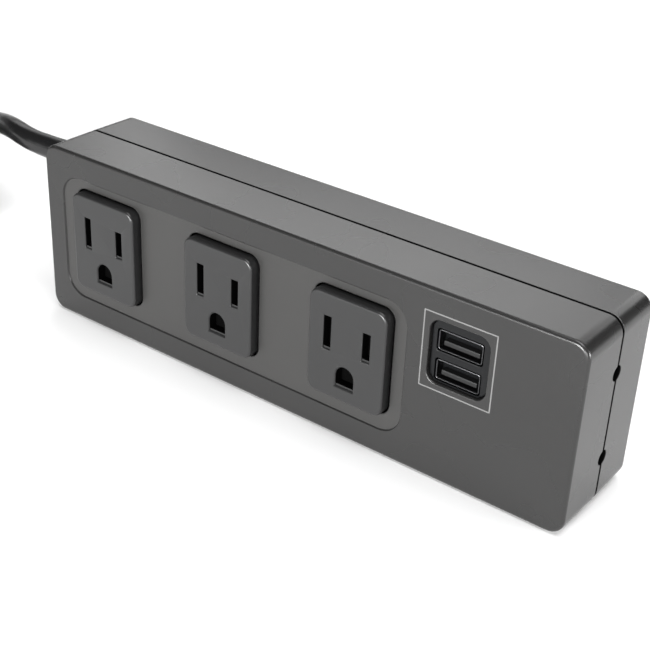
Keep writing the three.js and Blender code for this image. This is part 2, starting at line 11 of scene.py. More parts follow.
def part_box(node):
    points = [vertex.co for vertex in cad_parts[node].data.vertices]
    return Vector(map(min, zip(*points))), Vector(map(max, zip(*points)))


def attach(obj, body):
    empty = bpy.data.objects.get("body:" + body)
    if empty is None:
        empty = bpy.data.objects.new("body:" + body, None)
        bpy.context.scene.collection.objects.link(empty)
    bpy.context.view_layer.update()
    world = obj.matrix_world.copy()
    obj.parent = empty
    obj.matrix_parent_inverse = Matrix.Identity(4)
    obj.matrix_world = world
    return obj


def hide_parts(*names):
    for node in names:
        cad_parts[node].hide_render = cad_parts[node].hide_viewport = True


bl_info = {
    "name": "Power strip",
    "version": (1, 0, 0),
    "blender": (4, 5, 0),
    "location": "View3D > Sidebar > Power strip",
    "description": "Builds a desk power strip with its outlets, charging ports, cord and stage",
    "category": "Add Mesh",
}

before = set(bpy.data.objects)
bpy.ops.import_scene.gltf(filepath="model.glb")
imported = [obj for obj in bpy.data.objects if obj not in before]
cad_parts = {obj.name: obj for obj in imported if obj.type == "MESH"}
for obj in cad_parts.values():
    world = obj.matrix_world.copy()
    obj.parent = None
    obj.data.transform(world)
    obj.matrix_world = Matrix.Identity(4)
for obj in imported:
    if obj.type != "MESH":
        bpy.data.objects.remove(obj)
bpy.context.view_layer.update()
MM = 0.001


# ---------------------------------------------------------------- settings


class HousingSettings(bpy.types.PropertyGroup):
    """Sizes of the two housing shells."""

    length: bpy.props.FloatProperty(
        name="Length", description="Length of the housing", default=183 * MM, unit="LENGTH"
    )
    height: bpy.props.FloatProperty(
        name="Height", description="Height of the housing on edge", default=55.4 * MM,
        unit="LENGTH",
    )
    front: bpy.props.FloatProperty(
        name="Front", description="Level of the front face", default=-15.8 * MM, unit="LENGTH"
    )
    seam: bpy.props.FloatProperty(
        name="Seam", description="Level where the shells meet", default=1.8 * MM, unit="LENGTH"
    )
    rear: bpy.props.FloatProperty(
        name="Rear", description="Level of the back", default=18.2 * MM, unit="LENGTH"
    )
    corner: bpy.props.FloatProperty(
        name="Corner radius", description="Radius of the long corners", default=4.6 * MM,
        unit="LENGTH",
    )
    front_edge: bpy.props.FloatProperty(
        name="Front edge", description="Radius of the front edge", default=1.1 * MM, unit="LENGTH"
    )
    rear_edge: bpy.props.FloatProperty(
        name="Rear edge", description="Radius of the back edge", default=0.7 * MM, unit="LENGTH"
    )
    draft: bpy.props.FloatProperty(
        name="Draft", description="How far the sides draw in at the back", default=0.2 * MM,
        unit="LENGTH",
    )
    wall: bpy.props.FloatProperty(
        name="Wall", description="Thickness of the shells", default=2.2 * MM, unit="LENGTH"
    )
    colour: bpy.props.FloatVectorProperty(
        name="Housing colour", description="Colour of the moulded shells", subtype="COLOR",
        size=4, default=(0.015, 0.0148, 0.0146, 1), min=0, max=1,
    )


class OutletSettings(bpy.types.PropertyGroup):
    """Sizes of the outlet blocks and the panel round them."""

    pitch: bpy.props.FloatProperty(
        name="Pitch", description="Distance from outlet to outlet", default=45 * MM, unit="LENGTH"
    )
    first: bpy.props.FloatProperty(
        name="First outlet", description="Middle of the first outlet", default=-65.5 * MM,
        unit="LENGTH",
    )
    proud: bpy.props.FloatProperty(
        name="Proud", description="How far the blocks stand out of the front face",
        default=2.4 * MM, unit="LENGTH",
    )
    panel_depth: bpy.props.FloatProperty(
        name="Panel depth", description="Depth of the panel", default=0.5 * MM, unit="LENGTH"
    )
    moat: bpy.props.FloatProperty(
        name="Moat", description="Gap round each block", default=0.5 * MM, unit="LENGTH"
    )
    colour: bpy.props.FloatVectorProperty(
        name="Outlet colour", description="Colour of the outlet blocks", subtype="COLOR",
        size=4, default=(0.015, 0.0151, 0.0153, 1), min=0, max=1,
    )


class ChargerSettings(bpy.types.PropertyGroup):
    """Sizes of the USB well and its ports."""

    well_x: bpy.props.FloatProperty(
        name="Well middle", description="Middle of the well along the strip", default=56.9 * MM,
        unit="LENGTH",
    )
    well_z: bpy.props.FloatProperty(
        name="Well height", description="Height of the well's middle", default=38 * MM,
        unit="LENGTH",
    )
    well_depth: bpy.props.FloatProperty(
        name="Well depth", description="Depth of the well", default=1.2 * MM, unit="LENGTH"
    )
    port_pitch: bpy.props.FloatProperty(
        name="Port pitch", description="Distance from port to port", default=8.6 * MM,
        unit="LENGTH",
    )
    ink: bpy.props.FloatVectorProperty(
        name="Line colour", description="Colour of the printed line", subtype="COLOR",
        size=4, default=(0.13, 0.13, 0.129, 1), min=0, max=1,
    )


class CordSettings(bpy.types.PropertyGroup):
    """Sizes of the mains cord."""

    diameter: bpy.props.FloatProperty(
        name="Diameter", description="Diameter of the cord", default=7.2 * MM, unit="LENGTH"
    )
    length: bpy.props.FloatProperty(
        name="Length", description="Full length of the cord", default=1.83, unit="LENGTH"
    )
    colour: bpy.props.FloatVectorProperty(
        name="Cord colour", description="Colour of the jacket", subtype="COLOR",
        size=4, default=(0.007, 0.007, 0.0072, 1), min=0, max=1,
    )


class StageSettings(bpy.types.PropertyGroup):
    """Camera, floor and light."""

    camera: bpy.props.FloatVectorProperty(
        name="Camera", description="Where the camera stands", subtype="TRANSLATION",
        default=(194.70 * MM, -261.54 * MM, 204.48 * MM),
    )
    azimuth: bpy.props.FloatProperty(
        name="Azimuth", description="Direction the camera looks from", subtype="ANGLE",
        default=math.radians(36.05),
    )
    elevation: bpy.props.FloatProperty(
        name="Elevation", description="How steeply the camera looks down", subtype="ANGLE",
        default=math.radians(29.46),
    )
    roll: bpy.props.FloatProperty(
        name="Roll", description="Turn of the camera about its view", subtype="ANGLE",
        default=math.radians(2.68),
    )
    lens: bpy.props.FloatProperty(
        name="Lens", description="Focal length of the camera in millimetres", default=72.6
    )
    floor: bpy.props.FloatVectorProperty(
        name="Floor colour", description="Colour of the floor", subtype="COLOR",
        size=4, default=(0.9, 0.9, 0.9, 1), min=0, max=1,
    )


# ---------------------------------------------------------------- mesh tools


def rounded(width, height, radius, u=0.0, v=0.0, steps=8):
    """Points round a rounded rectangle, anticlockwise from its lower right corner."""
    radius = max(radius, 0.02 * MM)
    half_u = width / 2 - radius
    half_v = height / 2 - radius
    points = []
    for corner, (side_u, side_v) in enumerate(((1, -1), (1, 1), (-1, 1), (-1, -1))):
        for step in range(steps + 1):
            turn = math.radians(90 * (corner - 1 + step / steps))
            points.append(
                (
                    u + side_u * half_u + radius * math.cos(turn),
                    v + side_v * half_v + radius * math.sin(turn),
                )
            )
    return points


def outline(width, height, radius, u, v, steps=8):
    """A rounded rectangle as a function of how far it is drawn in."""

    def drawn_in(inset):
        return rounded(width - 2 * inset, height - 2 * inset, radius - inset, u, v, steps)

    return drawn_in


def circle(radius, u=0.0, v=0.0, steps=32):
    """Points round a circle."""
    turns = [2 * math.pi * step / steps for step in range(steps)]
    return [(u + radius * math.cos(t), v + radius * math.sin(t)) for t in turns]


def rounding(radius, level, steps, inset=0.0):
    """Insets and levels round an edge that ends at a level; a radius below zero turns back."""
    turns = [math.radians(90 * (k + 1) / steps) for k in range(steps)]
    return [
        (inset + abs(radius) * (1 - math.cos(t)), level + radius * (1 - math.sin(t)))
        for t in turns
    ]


class Skin:
    """A closed mesh in the making: rings of points joined by bands and closed by flat caps."""

    def __init__(self, axis="Y"):
        self.mesh = bmesh.new()
        self.axis = axis

    def place(self, u, v, level):
        if self.axis == "Y":
            return (u, level, v)
        if self.axis == "X":
            return (level, u, v)
        return (u, v, level)

    def ring(self, points, level):
        return [self.mesh.verts.new(self.place(u, v, level)) for u, v in points]

    def band(self, near, far, finish=0):
        for k in range(len(near)):
            corners = (near[k - 1], near[k], far[k], far[k - 1])
            self.mesh.faces.new(corners).material_index = finish

    def cap(self, outer, holes=(), finish=0):
        rings = [outer, *holes]
        corners = [vert for ring in rings for vert in ring]
        outlines = [[vert.co for vert in ring] for ring in rings]
        for triangle in tessellate_polygon(outlines):
            face = self.mesh.faces.new([corners[k] for k in triangle])
            face.material_index = finish

    def sweep(self, shape, profile, dark=()):
        """Joins shape(inset) at each (inset, level) of the profile; gives the first and last ring.

        The bands whose numbers are in dark take the second material, which carries painted shade.
        """
        rings = [self.ring(shape(inset), level) for inset, level in profile]
        for k, (near, far) in enumerate(zip(rings, rings[1:])):
            self.band(near, far, int(k in dark))
        return rings[0], rings[-1]

    def solid(self, shape, profile):
        """A sweep closed at both ends."""
        for end in self.sweep(shape, profile):
            self.cap(end)

    def stack(self, rings, finishes=()):
        """Joins rings in order and closes both ends; finishes gives each band's material."""
        for k, (near, far) in enumerate(zip(rings, rings[1:])):
            self.band(near, far, finishes[k] if finishes else 0)
        self.cap(rings[0])
        self.cap(rings[-1])

    def build(self, name, materials, sharp=38.0, smooth=True):
        """Makes the object, with soft shading between faces that meet at less than sharp."""
        bmesh.ops.recalc_face_normals(self.mesh, faces=self.mesh.faces)
        data = bpy.data.meshes.new(name)
        self.mesh.to_mesh(data)
        self.mesh.free()
        for material in materials:
            data.materials.append(material)
        piece = bpy.data.objects.new(name, data)
        bpy.context.scene.collection.objects.link(piece)
        soften(piece, sharp, smooth)
        return piece


def soften(piece, sharp=38.0, smooth=True):
    """Smooth shading with crisp corners, weighted so that flat faces stay flat."""
    data = piece.data
    data.polygons.foreach_set("use_smooth", [True] * len(data.polygons))
    data.set_sharp_from_angle(angle=math.radians(sharp))
    if smooth:
        weights = piece.modifiers.new("Flat faces", "WEIGHTED_NORMAL")
        weights.keep_sharp = True
        weights.weight = 80
    data.update()


def carve(piece, cutters, sharp=38.0):
    """Takes the cutters out of a piece and removes them."""
    for cutter in cutters:
        step = piece.modifiers.new("Carve", "BOOLEAN")
        step.operation = "DIFFERENCE"
        step.solver = "EXACT"
        step.object = cutter
    weights = piece.modifiers.get("Flat faces")
    if weights:
        piece.modifiers.remove(weights)
    depsgraph = bpy.context.evaluated_depsgraph_get()
    result = bpy.data.meshes.new_from_object(piece.evaluated_get(depsgraph))
    piece.modifiers.clear()
    old = piece.data
    piece.data = result
    result.name = piece.name
    bpy.data.meshes.remove(old)
    for cutter in cutters:
        bpy.data.meshes.remove(cutter.data)
    soften(piece, sharp)


def fit(piece, slot, *nodes):
    """Puts a finished piece on the strip in place of the CAD nodes it stands for."""
    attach(piece, "root")
    if nodes:
        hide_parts(*nodes)
    return piece


# ---------------------------------------------------------------- materials


def node_group(name, inputs, outputs):
    """A new shader node group with named sockets; gives it with its input and output nodes."""
    tree = bpy.data.node_groups.new(name, "ShaderNodeTree")
    for label, kind, value in inputs:
        socket = tree.interface.new_socket(name=label, in_out="INPUT", socket_type=kind)
        socket.default_value = value
    for label, kind in outputs:
        tree.interface.new_socket(name=label, in_out="OUTPUT", socket_type=kind)
    return tree, tree.nodes.new("NodeGroupInput"), tree.nodes.new("NodeGroupOutput")


def node(tree, kind, x, y, settings=None, values=None):
    """A node at a place in the tree, with its settings and its unlinked socket values."""
    made = tree.nodes.new(kind)
    made.location = (x, y)
    for key, value in (settings or {}).items():
        setattr(made, key, value)
    for key, value in (values or {}).items():
        made.inputs[key].default_value = value
    return made


def moulded_grain():
    """The fine spark-eroded grain of moulded plastic, with slow changes in gloss and tone."""
    existing = bpy.data.node_groups.get("Moulded grain")
    if existing:
        return existing
    tree, start, end = node_group(
        "Moulded grain",
        [
            ("Colour", "NodeSocketColor", (0.02, 0.02, 0.02, 1)),
            ("Grain size", "NodeSocketFloat", 2600.0),
            ("Gloss", "NodeSocketFloat", 0.4),
            ("Gloss change", "NodeSocketFloat", 0.06),
            ("Tone change", "NodeSocketFloat", 0.12),
        ],
        [
            ("Colour", "NodeSocketColor"),
            ("Roughness", "NodeSocketFloat"),
            ("Height", "NodeSocketFloat"),
        ],
    )
    start.location, end.location = (-900, 0), (700, 0)
    place = node(tree, "ShaderNodeTexCoord", -900, 300)
    fine = node(tree, "ShaderNodeTexNoise", -500, 300, None, {"Detail": 3.0, "Roughness": 0.6})
    slow = node(
        tree, "ShaderNodeTexNoise", -500, 0, None,
        {"Scale": 38.0, "Detail": 2.0, "Roughness": 0.5},
    )
    speckle = node(
        tree, "ShaderNodeTexNoise", -500, -300, None,
        {"Scale": 900.0, "Detail": 2.0, "Roughness": 0.7},
    )
    link = tree.links.new
    for texture in (fine, slow, speckle):
        link(place.outputs["Object"], texture.inputs["Vector"])
    link(start.outputs["Grain size"], fine.inputs["Scale"])
    sway = node(
        tree, "ShaderNodeMath", -250, 0, {"operation": "MULTIPLY_ADD"}, {1: 1.0, 2: -0.5}
    )
    link(slow.outputs["Fac"], sway.inputs[0])
    gloss = node(tree, "ShaderNodeMath", 0, 0, {"operation": "MULTIPLY_ADD"})
    link(sway.outputs[0], gloss.inputs[0])
    link(start.outputs["Gloss change"], gloss.inputs[1])
    link(start.outputs["Gloss"], gloss.inputs[2])
    mottle = node(
        tree, "ShaderNodeMath", -250, -300, {"operation": "MULTIPLY_ADD"}, {1: 1.0, 2: -0.5}
    )
    link(speckle.outputs["Fac"], mottle.inputs[0])
    both = node(tree, "ShaderNodeMath", 0, -250, {"operation": "ADD"})
    link(mottle.outputs[0], both.inputs[0])
    link(sway.outputs[0], both.inputs[1])
    tone = node(tree, "ShaderNodeMath", 150, -250, {"operation": "MULTIPLY_ADD"}, {2: 1.0})
    link(both.outputs[0], tone.inputs[0])
    link(start.outputs["Tone change"], tone.inputs[1])
    shade = node(tree, "ShaderNodeVectorMath", 350, -200, {"operation": "SCALE"})
    link(start.outputs["Colour"], shade.inputs[0])
    link(tone.outputs[0], shade.inputs["Scale"])
    link(shade.outputs["Vector"], end.inputs["Colour"])
    link(gloss.outputs[0], end.inputs["Roughness"])
    link(fine.outputs["Fac"], end.inputs["Height"])
    return tree


def rolled_metal():
    """Fine rolling or stamping streaks on metal, with small changes in gloss."""
    existing = bpy.data.node_groups.get("Rolled metal")
    if existing:
        return existing
    tree, start, end = node_group(
        "Rolled metal",
        [
            ("Colour", "NodeSocketColor", (0.5, 0.5, 0.5, 1)),
            ("Streaks", "NodeSocketVector", (300.0, 300.0, 4000.0)),
            ("Gloss", "NodeSocketFloat", 0.3),
            ("Gloss change", "NodeSocketFloat", 0.15),
        ],
        [
            ("Colour", "NodeSocketColor"),
            ("Roughness", "NodeSocketFloat"),
            ("Height", "NodeSocketFloat"),
        ],
    )
    start.location, end.location = (-900, 0), (500, 0)
    link = tree.links.new
    place = node(tree, "ShaderNodeTexCoord", -900, 250)
    stretch = node(tree, "ShaderNodeVectorMath", -650, 200, {"operation": "MULTIPLY"})
    link(place.outputs["Object"], stretch.inputs[0])
    link(start.outputs["Streaks"], stretch.inputs[1])
    streak = node(tree, "ShaderNodeTexNoise", -400, 200, None, {"Scale": 1.0, "Detail": 3.0})
    link(stretch.outputs["Vector"], streak.inputs["Vector"])
    sway = node(
        tree, "ShaderNodeMath", -200, 100, {"operation": "MULTIPLY_ADD"}, {1: 1.0, 2: -0.5}
    )
    link(streak.outputs["Fac"], sway.inputs[0])
    gloss = node(tree, "ShaderNodeMath", 0, 100, {"operation": "MULTIPLY_ADD"})
    link(sway.outputs[0], gloss.inputs[0])
    link(start.outputs["Gloss change"], gloss.inputs[1])
    link(start.outputs["Gloss"], gloss.inputs[2])
    tone = node(
        tree, "ShaderNodeMath", 0, -100, {"operation": "MULTIPLY_ADD"}, {1: 0.3, 2: 1.0}
    )
    link(sway.outputs[0], tone.inputs[0])
    shade = node(tree, "ShaderNodeVectorMath", 200, -100, {"operation": "SCALE"})
    link(start.outputs["Colour"], shade.inputs[0])
    link(tone.outputs[0], shade.inputs["Scale"])
    link(shade.outputs["Vector"], end.inputs["Colour"])
    link(gloss.outputs[0], end.inputs["Roughness"])
    link(streak.outputs["Fac"], end.inputs["Height"])
    return tree


def surface(name, group, values, relief=0.00002, metallic=0.0, coat=0.0, ior=1.5):
    """A material whose colour, gloss and relief come from a node group with its own values."""
    existing = bpy.data.materials.get(name)
    if existing:
        return existing
    material = bpy.data.materials.new(name)
    material.use_nodes = True
    tree = material.node_tree
    tree.nodes.clear()
    out = node(tree, "ShaderNodeOutputMaterial", 500, 0)
    shader = node(tree, "ShaderNodeBsdfPrincipled", 200, 0)
    effect = node(tree, "ShaderNodeGroup", -300, 0, {"node_tree": group})
    for key, value in values.items():
        effect.inputs[key].default_value = value
    bump = node(tree, "ShaderNodeBump", -50, -250, None, {"Strength": 1.0})
    bump.inputs["Distance"].default_value = relief
    shader.inputs["Metallic"].default_value = metallic
    shader.inputs["Coat Weight"].default_value = coat
    shader.inputs["IOR"].default_value = ior
    link = tree.links.new
    link(effect.outputs["Colour"], shader.inputs["Base Color"])
    link(effect.outputs["Roughness"], shader.inputs["Roughness"])
    link(effect.outputs["Height"], bump.inputs["Height"])
    link(bump.outputs["Normal"], shader.inputs["Normal"])
    link(shader.outputs["BSDF"], out.inputs["Surface"])
    return material


def plastic(
    name, colour, gloss, grain=2600.0, relief=0.000004, change=0.06, tone=0.12, ior=1.5
):
    """Moulded plastic."""
    values = {
        "Colour": (*colour[:3], 1),
        "Grain size": grain,
        "Gloss": gloss,
        "Gloss change": change,
        "Tone change": tone,
    }
    return surface(name, moulded_grain(), values, relief, ior=ior)


def cord_jacket(context):
    """The soft vinyl of the cord, its boot and its plug."""
    colour = context.scene.strip_cord.colour
    return plastic("Cord jacket", colour, 0.27, 1500.0, 0.000006, 0.08, 0.1)


def metal(name, colour, gloss, streaks=(300.0, 300.0, 4000.0), relief=0.000003):
    """Stamped, drawn or plated metal."""
    values = {"Colour": (*colour[:3], 1), "Streaks": streaks, "Gloss": gloss}
    return surface(name, rolled_metal(), values, relief, metallic=1.0)


def contact_brass():
    """The brass of the buses and the plug's prongs."""
    return metal("Contact brass", (0.63, 0.46, 0.2), 0.3, (4000.0, 300.0, 300.0))


def screw_zinc():
    """The zinc plating of the screws."""
    return metal("Zinc plated steel", (0.62, 0.62, 0.6), 0.32, (900.0, 900.0, 900.0))


def dress(node_name, material):
    """Gives a CAD node that stays in view its material."""
    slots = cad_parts[node_name].data.materials
    slots.clear()
    slots.append(material)


# ---------------------------------------------------------------- stage


LIGHT_DISTANCE = 1.6
SOFT_BOXES = (
    ("front_strip", 0, 9, 0.85, 0.45, 45.0),
    ("front_right_strip", 36, 9, 0.85, 0.45, 12.6),
    ("right_strip", 108, 9, 0.85, 0.45, 21.5),
    ("front_left_strip", 324, 9, 0.85, 0.45, 1.6),
    ("back_box", 180, 27, 0.8, 0.55, 4.6),
    ("back_left_box", 214, 33, 0.8, 0.55, 3.7),
    ("low_left_box", 236, 20, 0.6, 0.5, 1.0),
    ("high_back_left_box", 225, 46, 0.8, 0.6, 3.2),
    ("high_front_right_box", 60, 66, 0.7, 0.6, 7.7),
    ("high_right_box", 120, 66, 0.7, 0.6, 2.4),
    ("top_box", 0, 88, 0.9, 0.9, 9.3),
)


class STRIP_OT_stage(bpy.types.Operator):
    """Sets up the camera, the floor and the studio light."""

    bl_idname = "strip.stage"
    bl_label = "Stage"

    def execute(self, context):
        settings = context.scene.strip_stage
        self.add_camera(context, settings)
        self.add_floor(settings)
        self.add_world(context.scene)
        self.add_lights()
        context.scene.view_settings.view_transform = "Standard"
        return {"FINISHED"}

    def add_camera(self, context, settings):
        azimuth, elevation = settings.azimuth, settings.elevation
        look = Vector(
            (
                -math.sin(azimuth) * math.cos(elevation),
                math.cos(azimuth) * math.cos(elevation),
                -math.sin(elevation),
            )
        )
        data = bpy.data.cameras.new("view_camera")
        data.lens = settings.lens
        data.sensor_width = 36
        data.clip_start = 0.01
        data.clip_end = 20
        camera = bpy.data.objects.new("view_camera", data)
        camera.location = settings.camera
        camera.rotation_mode = "QUATERNION"
        roll = Quaternion((0, 0, 1), settings.roll)
        camera.rotation_quaternion = look.to_track_quat("-Z", "Y") @ roll
        context.scene.collection.objects.link(camera)
        context.scene.camera = camera

    def add_floor(self, settings):
        skin = Skin("Z")
        skin.cap(skin.ring(rounded(5, 5, 1, steps=12), -0.0002))
        material = bpy.data.materials.new("Pale floor")
        material.use_nodes = True
        shader = material.node_tree.nodes["Principled BSDF"]
        shader.inputs["Base Color"].default_value = settings.floor
        shader.inputs["Roughness"].default_value = 0.8
        shader.inputs["Emission Color"].default_value = (1, 1, 1, 1)
        shader.inputs["Emission Strength"].default_value = 0.08
        floor = skin.build("stage_floor", [material], smooth=False)
        if floor.data.polygons[0].normal.z < 0:
            floor.data.flip_normals()

    def add_world(self, scene):
        """A surround that is white to look at, and gives next to no light of its own."""
        world = bpy.data.worlds.new("Studio surround")
        scene.world = world
        world.use_nodes = True
        tree = world.node_tree
        glow = tree.nodes["Background"]
        glow.inputs["Color"].default_value = (1, 1, 1, 1)
        path = node(tree, "ShaderNodeLightPath", -500, 0)
        strength = node(
            tree, "ShaderNodeMath", -250, 0, {"operation": "MULTIPLY_ADD"}, {1: 0.95, 2: 0.02}
        )
        tree.links.new(path.outputs["Is Camera Ray"], strength.inputs[0])
        tree.links.new(strength.outputs[0], glow.inputs["Strength"])

    def add_lights(self):
        """Soft boxes on a dome round the strip: direction in degrees, size and power."""
        for name, azimuth, elevation, width, height, power in SOFT_BOXES:
            data = bpy.data.lights.new(name, "AREA")
            data.shape = "RECTANGLE"
            data.size = width
            data.size_y = height
            data.energy = power
            lamp = bpy.data.objects.new(name, data)
            around, up = math.radians(azimuth), math.radians(elevation)
            lamp.location = Vector(
                (
                    math.sin(around) * math.cos(up),
                    -math.cos(around) * math.cos(up),
                    math.sin(up),
                )
            ) * LIGHT_DISTANCE
            lamp.rotation_mode = "QUATERNION"
            aim = Vector((0, 0, 0.03)) - lamp.location
            lamp.rotation_quaternion = aim.to_track_quat("-Z", "Y")
            bpy.context.scene.collection.objects.link(lamp)


# ---------------------------------------------------------------- cord


CORD_EXIT = (-91.5 * MM, 1.8 * MM, 44 * MM)
BOOT_TIP = -113.5 * MM
HANK_NEAR = -184 * MM
LOOP = 24 * MM
FLARE = 40 * MM
RUN = 3.65 * MM
WAIST = 18 * MM
TURNS = 4
FLOOR_LEVEL = 3.65 * MM
LEVEL_STEP = 7.3 * MM
TIE_LIFT = 1.6 * MM
FLARE_SPAN = math.sqrt((FLARE + LOOP) ** 2 - (FLARE + RUN) ** 2)
HANK_FAR = HANK_NEAR - 2 * FLARE_SPAN - WAIST
HANK_MIDDLE = (HANK_NEAR + HANK_FAR) / 2
PLUG_Y = 14 * MM
PLUG_Z = 13.6 * MM
PLUG_BOOT = HANK_FAR - 63 * MM


def arc(x, y, radius, start, end, steps):
    """Points along an arc on the floor plane, without the first one."""
    turns = [math.radians(start + (end - start) * (k + 1) / steps) for k in range(steps)]
    return [(x + radius * math.cos(t), y + radius * math.sin(t)) for t in turns]


def cord_route():
    """The cord's centreline: out of the boot, round the hank from the top down, to the plug."""
    lead = (
        (-112.5, 1.8, 44),
        (-117.5, 2.05, 44),
        (-122.5, 3.2, 43.8),
        (-129, 5.5, 43.2),
        (-136, 8.6, 41.8),
        (-143.5, 12.2, 39.8),
        (-150.5, 15.6, 37.6),
        (-157.5, 18.6, 35.6),
        (-165.5, 21.4, 34),
        (-174.5, 23.4, 33.1),
        (-184, 24, 32.85),
    )
    points = [(x * MM, y * MM, z * MM) for x, y, z in lead]
    swing = math.degrees(math.atan2(FLARE + RUN, FLARE_SPAN))
    near_flare = HANK_NEAR - FLARE_SPAN
    far_flare = HANK_FAR + FLARE_SPAN
    off = FLARE + RUN

    def run(flat, level):
        for x, y in flat:
            near_tie = max(0.0, 1 - max(0.0, abs(x - HANK_MIDDLE) - WAIST / 2) / (20 * MM))
            lift = TIE_LIFT * near_tie * near_tie * (3 - 2 * near_tie)
            points.append((x, y, level + lift))

    for turn in range(TURNS + 1):
        level = FLOOR_LEVEL + (TURNS - turn) * LEVEL_STEP
        run(arc(HANK_NEAR, 0, LOOP, 90, 180 - swing, 2), level)
        run(arc(near_flare, off, FLARE, -swing, -90, 3), level)
        run([(HANK_MIDDLE, RUN), (far_flare, RUN)], level)
        run(arc(far_flare, off, FLARE, -90, swing - 180, 3), level)
        if turn == TURNS:
            run(arc(HANK_FAR, 0, LOOP, swing, 90, 2), level)
            break
        loop = arc(HANK_FAR, 0, LOOP, swing, 360 - swing, 12)
        for k, (x, y) in enumerate(loop):
            share = (k + 1) / len(loop)
            points.append((x, y, level - LEVEL_STEP * share))
        level -= LEVEL_STEP
        run(arc(far_flare, -off, FLARE, 180 - swing, 90, 3), level)
        run([(HANK_MIDDLE, -RUN), (near_flare, -RUN)], level)
        run(arc(near_flare, -off, FLARE, 90, swing, 3), level)
        run(arc(HANK_NEAR, 0, LOOP, swing - 180, 90, 12), level)
    tail = (
        (-12, 24, 3.65),
        (-22, 23.8, 3.8),
        (-31.5, 22.6, 5.1),
        (-41, 19, 8.7),
        (-50.5, 15.3, 12.3),
        (-58, 14.1, 13.5),
        (-64.5, 14, 13.6),
    )
    points.extend((HANK_FAR + x * MM, y * MM, z * MM) for x, y, z in tail)
    return points


class STRIP_OT_cord(bpy.types.Operator):
    """Lays the mains cord from its boot through the tied hank to the plug."""

    bl_idname = "strip.cord"
    bl_label = "Mains cord"

    def execute(self, context):
        settings = context.scene.strip_cord
        jacket = cord_jacket(context)
        line = bpy.data.curves.new("mains_cord", "CURVE")
        line.dimensions = "3D"
        line.resolution_u = 5
        line.bevel_depth = settings.diameter / 2
        line.bevel_resolution = 7
        line.use_fill_caps = True
        route = cord_route()
        spline = line.splines.new("BEZIER")
        spline.bezier_points.add(len(route) - 1)
        for knot, place in zip(spline.bezier_points, route):
            knot.co = place
            knot.handle_left_type = knot.handle_right_type = "AUTO"
        line.materials.append(jacket)
        cord = bpy.data.objects.new("mains_cord", line)
        context.scene.collection.objects.link(cord)
        fit(cord, "cord_jacket", "cord_lead", "cord_hank", "cord_tail")
        boot = self.add_boot(jacket)
        tie = self.add_tie()
        plug = self.add_plug(jacket)
        prongs = ["plug_blade_line", "plug_blade_neutral", "plug_ground_pin"]
        for prong in prongs:
            dress(prong, contact_brass())
        return {"FINISHED"}

    def add_boot(self, jacket):
        """The tapered strain relief, with a shallow collar where it meets the housing."""
        wall, y, z = CORD_EXIT
        tip, root = 3.66, 4.55
        levels = [(BOOT_TIP, 3.62), (BOOT_TIP + 0.3 * MM, tip), (BOOT_TIP + 1.5 * MM, 3.69)]
        for k in range(2, 12):
            share = k / 11
            levels.append((BOOT_TIP + 21.7 * MM * share, tip + (root - tip) * share**1.6))
        levels += [(wall - 0.3 * MM, 4.0), (wall + 3 * MM, 4.0), (wall + 3 * MM, 3.6)]
        skin = Skin("X")
        skin.stack([skin.ring(circle(r * MM, y, z, 40), x) for x, r in levels])
        return fit(skin.build("cord_boot", [jacket], 50), "cord_jacket", "strain_relief")

    def add_tie(self):
        """A hook-and-loop strap round the waist of the hank."""
        strap = plastic("Tie strap", (0.03, 0.03, 0.032), 0.85, 3000.0, 0.00012, 0.1, 0.5)
        low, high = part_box("hank_tie")
        middle = (low.z + high.z) / 2
        strap_loop = outline(high.y - low.y, high.z - low.z, 2.2 * MM, 0, middle)
        skin = Skin("X")
        edge, thick = 0.25 * MM, 1.05 * MM
        profile = [(thick, low.x + edge), (thick - edge, low.x), (edge, low.x)]
        profile += [(0, low.x + edge), (0, high.x - edge), (edge, high.x)]
        profile += [(thick - edge, high.x), (thick, high.x - edge)]
        first, last = skin.sweep(strap_loop, profile)
        skin.band(last, first)
        return fit(skin.build("hank_strap", [strap], 60), "cord_jacket", "hank_tie")

    def add_plug(self, jacket):
        """The moulded plug, with finger ribs on its sides and a rim at its face."""
        low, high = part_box("plug_body")
        body_x = PLUG_BOOT - 20 * MM
        skin = Skin("X")

        def ring(width, height, radius, x):
            return skin.ring(rounded(width * MM, height * MM, radius * MM, PLUG_Y, PLUG_Z), x)

        rings = [ring(26.6, 25.6, 7, low.x), ring(27.6, 26.6, 7.6, low.x + 0.3 * MM)]
        rings += [ring(28, 27, 8, low.x + 0.8 * MM), ring(28, 27, 8, low.x + 2.4 * MM)]
        rings += [ring(27.4, 26.4, 7.8, low.x + 2.9 * MM), ring(26, 25, 7, low.x + 3.6 * MM)]
        for k in range(6):
            x = low.x + (8 + 3.6 * k) * MM
            rings += [
                ring(26, 25, 7, x),
                ring(24.6, 24.4, 6.8, x + 0.5 * MM),
                ring(24.6, 24.4, 6.8, x + 1.5 * MM),
                ring(26, 25, 7, x + 2.0 * MM),
            ]
        rings += [ring(26, 25, 7, body_x - 5 * MM), ring(24.6, 23.6, 8, body_x - 1.6 * MM)]
        rings += [ring(20, 19, 8, body_x), ring(13.4, 13.4, 6.6, body_x + 0.6 * MM)]
        for k in range(5):
            x = body_x + (2 + 3.6 * k) * MM
            size = 12.4 - 0.7 * k
            rings += [
                ring(size, size, size / 2, x),
                ring(size, size, size / 2, x + 1.9 * MM),
                ring(size - 1.5, size - 1.5, size / 2 - 0.75, x + 2.3 * MM),
                ring(size - 1.5, size - 1.5, size / 2 - 0.75, x + 3.2 * MM),
            ]
        rings += [ring(8.5, 8.5, 4.25, PLUG_BOOT - 0.2 * MM), ring(7.8, 7.8, 3.9, PLUG_BOOT)]
        skin.stack(rings)
        return fit(skin.build("plug_grip", [jacket], 50), "cord_jacket", "plug_body")


# ---------------------------------------------------------------- housing


